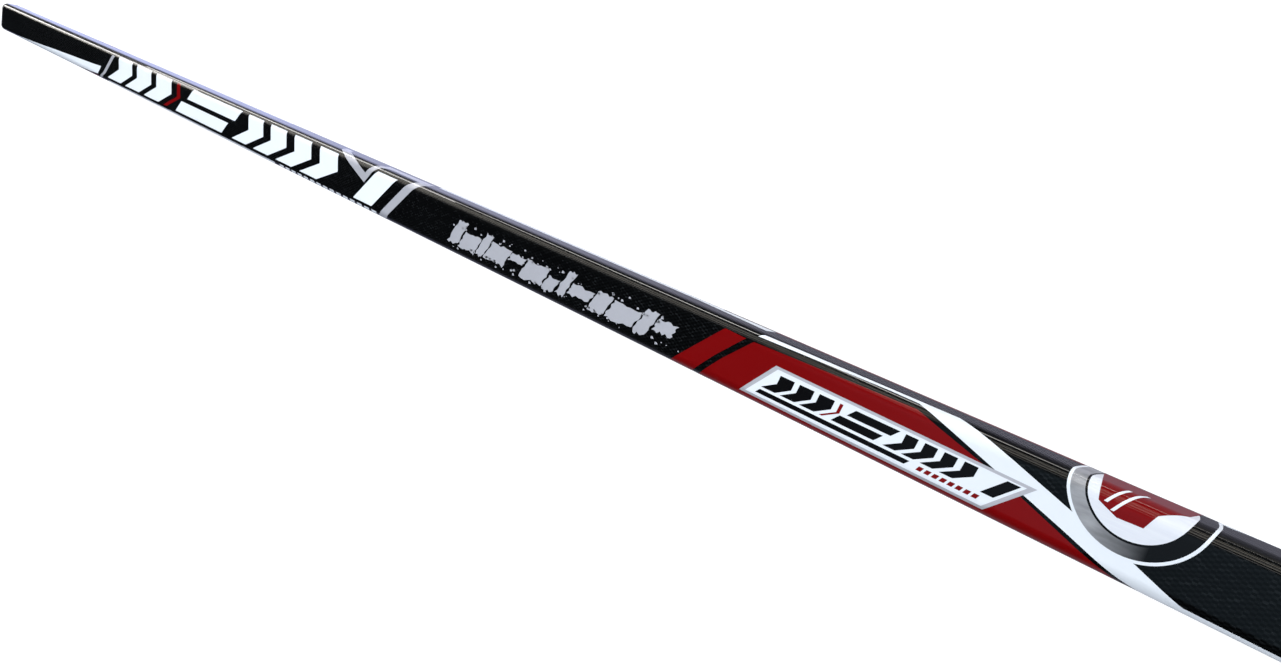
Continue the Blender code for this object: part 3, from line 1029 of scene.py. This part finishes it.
def add_camera():
    data = bpy.data.cameras.new("camera")
    data.lens = LENS
    data.sensor_width = SENSOR
    data.clip_start = NEAREST_SEEN
    camera = bpy.data.objects.new("camera", data)
    bpy.context.scene.collection.objects.link(camera)
    forward = (place(*CAMERA_AIM) - place(*CAMERA_AT)).normalized()
    level = forward.cross(Vector((0.0, 0.0, 1.0))).normalized()
    upright = level.cross(forward)
    right = level * math.cos(CAMERA_ROLL) + upright * math.sin(CAMERA_ROLL)
    up = right.cross(forward)
    turn = Matrix((right, up, -forward)).transposed()
    camera.matrix_world = Matrix.Translation(place(*CAMERA_AT)) @ turn.to_4x4()
    bpy.context.scene.camera = camera


# Floor and world. Each looks one way to one kind of ray and another way to all others.


# The floor's reach and its drop below the stick, in metres, and its own look
FLOOR_REACH = 12.0
FLOOR_DROP = 0.0002
FLOOR_COLOR = (0.32, 0.32, 0.33)
FLOOR_GLOW_COLOR = (0.98, 0.99, 1.0)
FLOOR_GLOW = 0.86

# The floor's glow in reflections is painted light. It is a lavender pool beside the edge that dims
# towards the blade, a strip of painted shade, a bright painted reflection beyond, and a faint painted
# glow near the blade.
# The mirrored floor's colours: beside the edge near the butt and near the blade, and beyond
MIRRORED_FAR = (0.60, 0.645, 1.0)
MIRRORED_NEAR = (0.80, 0.80, 1.0)
MIRRORED_BEYOND = (1.0, 0.97, 0.93)

# Where the mirrored floor changes: y across the shaft, and x along it
CENTRE_LINE = (-10, 10)
BESIDE_ENDS = (34, 42)
WHITE_STARTS = (60, 80)
BEYOND_STARTS = (150, 190)
BESIDE_DIMS = (600, 1120)
BEYOND_OPENS = (-200, 300)
BEYOND_GROWS = (500, 900)
BEYOND_ENDS = (1050, 1200)
BLADE_GLOW_STARTS = (1180, 1280)

# Its brightness on the -Y side, and on the +Y side before and after each change
DIM_SIDE = 0.2
BESIDE_GLOW = (1.3, 0.33)
BESIDE_REST = (1.0, 0.06)
BEYOND_GLOW = (8.0, 0.2)
BEYOND_GROWTH = (0.7, 1.5)
BLADE_GLOW = (0.0, 0.3)

# The world: what the camera sees, and what the lacquer mirrors from low down to overhead
BACKDROP = (0.85, 0.86, 0.87)
DARK_ROOM = (0.004, 0.0045, 0.006)
CEILING = (0.14, 0.20, 0.25)
CEILING_STARTS = (0.83, 0.96)


def split_by_ray(tree, ray, others, chosen, output):
    """End a node tree so that one kind of ray meets the chosen shader, and the rest the others."""
    rays = tree.node("LightPath")
    choose = tree.node("MixShader")
    for socket, source in zip(choose.inputs, (rays.outputs[ray], others, chosen)):
        tree.give(socket, source)
    tree.node(output, Surface=choose.outputs[0])


def painted_floor_reflection(tree):
    """The floor as the lacquer mirrors it: returns its strength and its colour.

    This glow is painted light that only reflections show. Beside the +Y edge it is a lavender
    painted pool of light that dims towards the blade; a dark strip of painted shade follows,
    and beyond that a bright painted reflection. On the -Y side it is even and dim.
    """

    def along(ends, to_low=0.0, to_high=1.0):
        low, high = [ORIGIN.x + end * MM for end in ends]
        return tree.span(tree.axis("X"), low, high, to_low, to_high)

    def across(ends, to_low=0.0, to_high=1.0):
        low, high = [ORIGIN.y + end * MM for end in ends]
        return tree.span(tree.axis("Y"), low, high, to_low, to_high)

    def times(first, *others):
        for other in others:
            first = tree.math("MULTIPLY", first, other)
        return first

    beside = times(along(BESIDE_DIMS, *BESIDE_GLOW), across(BESIDE_ENDS, *BESIDE_REST))
    beyond = times(
        along(BEYOND_ENDS, *BEYOND_GLOW), across(BEYOND_STARTS), along(BEYOND_OPENS),
        along(BEYOND_GROWS, *BEYOND_GROWTH))
    near_blade = times(along(BLADE_GLOW_STARTS, *BLADE_GLOW), across(BESIDE_ENDS))
    lit_side = tree.math("ADD", beside, tree.math("ADD", beyond, near_blade))
    strength = tree.mix(across(CENTRE_LINE), DIM_SIDE, lit_side, "FLOAT")
    lavender = tree.mix(along(BESIDE_DIMS), MIRRORED_FAR, MIRRORED_NEAR)
    return strength, tree.mix(across(WHITE_STARTS), lavender, MIRRORED_BEYOND)


def floor_material():
    """Pale and softly glowing, with painted light of its own that only the lacquer mirrors."""
    mat = bpy.data.materials.new("floor")
    mat.use_nodes = True
    mat.node_tree.nodes.clear()
    tree = Nodes(mat.node_tree, "Object")
    diffuse = tree.node("BsdfDiffuse", Color=FLOOR_COLOR)
    glow = tree.node("Emission", Color=FLOOR_GLOW_COLOR, Strength=FLOOR_GLOW)
    lit = tree.node("AddShader")
    tree.give(lit.inputs[0], diffuse.outputs[0])
    tree.give(lit.inputs[1], glow.outputs[0])
    strength, color = painted_floor_reflection(tree)
    mirrored = tree.node("Emission", Color=color, Strength=strength)
    split_by_ray(tree, "Is Glossy Ray", lit.outputs[0], mirrored.outputs[0], "OutputMaterial")
    return mat


def add_floor():
    mesh = bpy.data.meshes.new("floor")
    build = bmesh.new()
    bmesh.ops.create_grid(build, x_segments=2, y_segments=2, size=FLOOR_REACH)
    build.to_mesh(mesh)
    build.free()
    mesh.materials.append(floor_material())
    floor = bpy.data.objects.new("floor", mesh)
    floor.location = (0.0, 0.0, -FLOOR_DROP)
    bpy.context.scene.collection.objects.link(floor)


def add_world():
    """A pale backdrop for the camera; a dark room with a soft ceiling for all other rays."""
    world = bpy.data.worlds.new("studio")
    bpy.context.scene.world = world
    world.use_nodes = True
    world.node_tree.nodes.clear()
    tree = Nodes(world.node_tree, "Generated")
    sky = tree.mix(tree.span(tree.axis("Z"), *CEILING_STARTS), DARK_ROOM, CEILING)
    around = tree.node("Background", Color=sky)
    seen = tree.node("Background", Color=BACKDROP)
    split_by_ray(tree, "Is Camera Ray", around.outputs[0], seen.outputs[0], "OutputWorld")


# Lights


# Lamps that the lacquer doesn't mirror: place, aim, size in metres, power and colour
SOFT_LIGHTS = {
    "side_light": ((0, -700, 2200), (700, 0, 0), (2.6, 1.2), 55.0, (0.93, 0.97, 1.0)),
    "window_light": ((300, 1500, 1300), (800, 0, 0), (2.4, 1.0), 38.0, (0.95, 0.98, 1.0)),
}

# Long strips that it does mirror, parallel to the shaft
STRIP_DISTANCE = 2600.0
KHAKI = (1.0, 0.94, 0.82)
PALE = (1.0, 0.97, 0.94)
STRIPS = (
    # angle above the horizon, height in metres, brightness, colour, ends along x in metres
    (6.0, 0.32, 8.0, PALE, -6.2, -2.4),
    (20.0, 0.08, 3.0, KHAKI, -5.3, 2.0),
    (28.0, 0.20, 2.6, KHAKI, -5.3, 2.0),
    (37.0, 0.10, 1.6, PALE, -5.3, 2.0),
    (44.0, 0.20, 2.6, KHAKI, -5.3, 2.0),
    (57.0, 0.10, 2.2, PALE, -5.3, 2.0),
    (30.0, 0.40, 8.0, PALE, -12.0, -5.3),
    (46.0, 0.30, 6.0, PALE, -12.0, -5.3),
    (62.0, 0.16, 4.0, KHAKI, -12.0, -5.3),
)


def area_light(name, at, aim, size, power, color):
    data = bpy.data.lights.new(name, "AREA")
    data.shape = "RECTANGLE"
    data.size, data.size_y = size
    data.energy = power
    data.color = color
    lamp = bpy.data.objects.new(name, data)
    bpy.context.scene.collection.objects.link(lamp)
    direction = place(*aim) - place(*at)
    lamp.rotation_euler = direction.to_track_quat("-Z", "Y").to_euler()
    lamp.location = place(*at)
    return lamp


def add_lights():
    for name, settings in SOFT_LIGHTS.items():
        area_light(name, *settings).visible_glossy = False
    for number, (angle, height, brightness, color, start, end) in enumerate(STRIPS):
        rise = math.radians(angle)
        middle = (start + end) / 2 / MM
        spot = (middle, STRIP_DISTANCE * math.cos(rise), STRIP_DISTANCE * math.sin(rise))
        power = brightness * math.pi * (end - start) * height
        area_light(f"strip_{number}", spot, (middle, 0, 0), (end - start, height), power, color)


add_camera()
add_world()
add_floor()
add_lights()
add_shaft()
add_butt_cap()
add_neck()
add_blade()
add_prints("front", 0.0)
add_prints("back", HALF_ROUND)
add_emblem()
finish_hidden_nodes()
bpy.context.scene.view_settings.view_transform = "Standard"
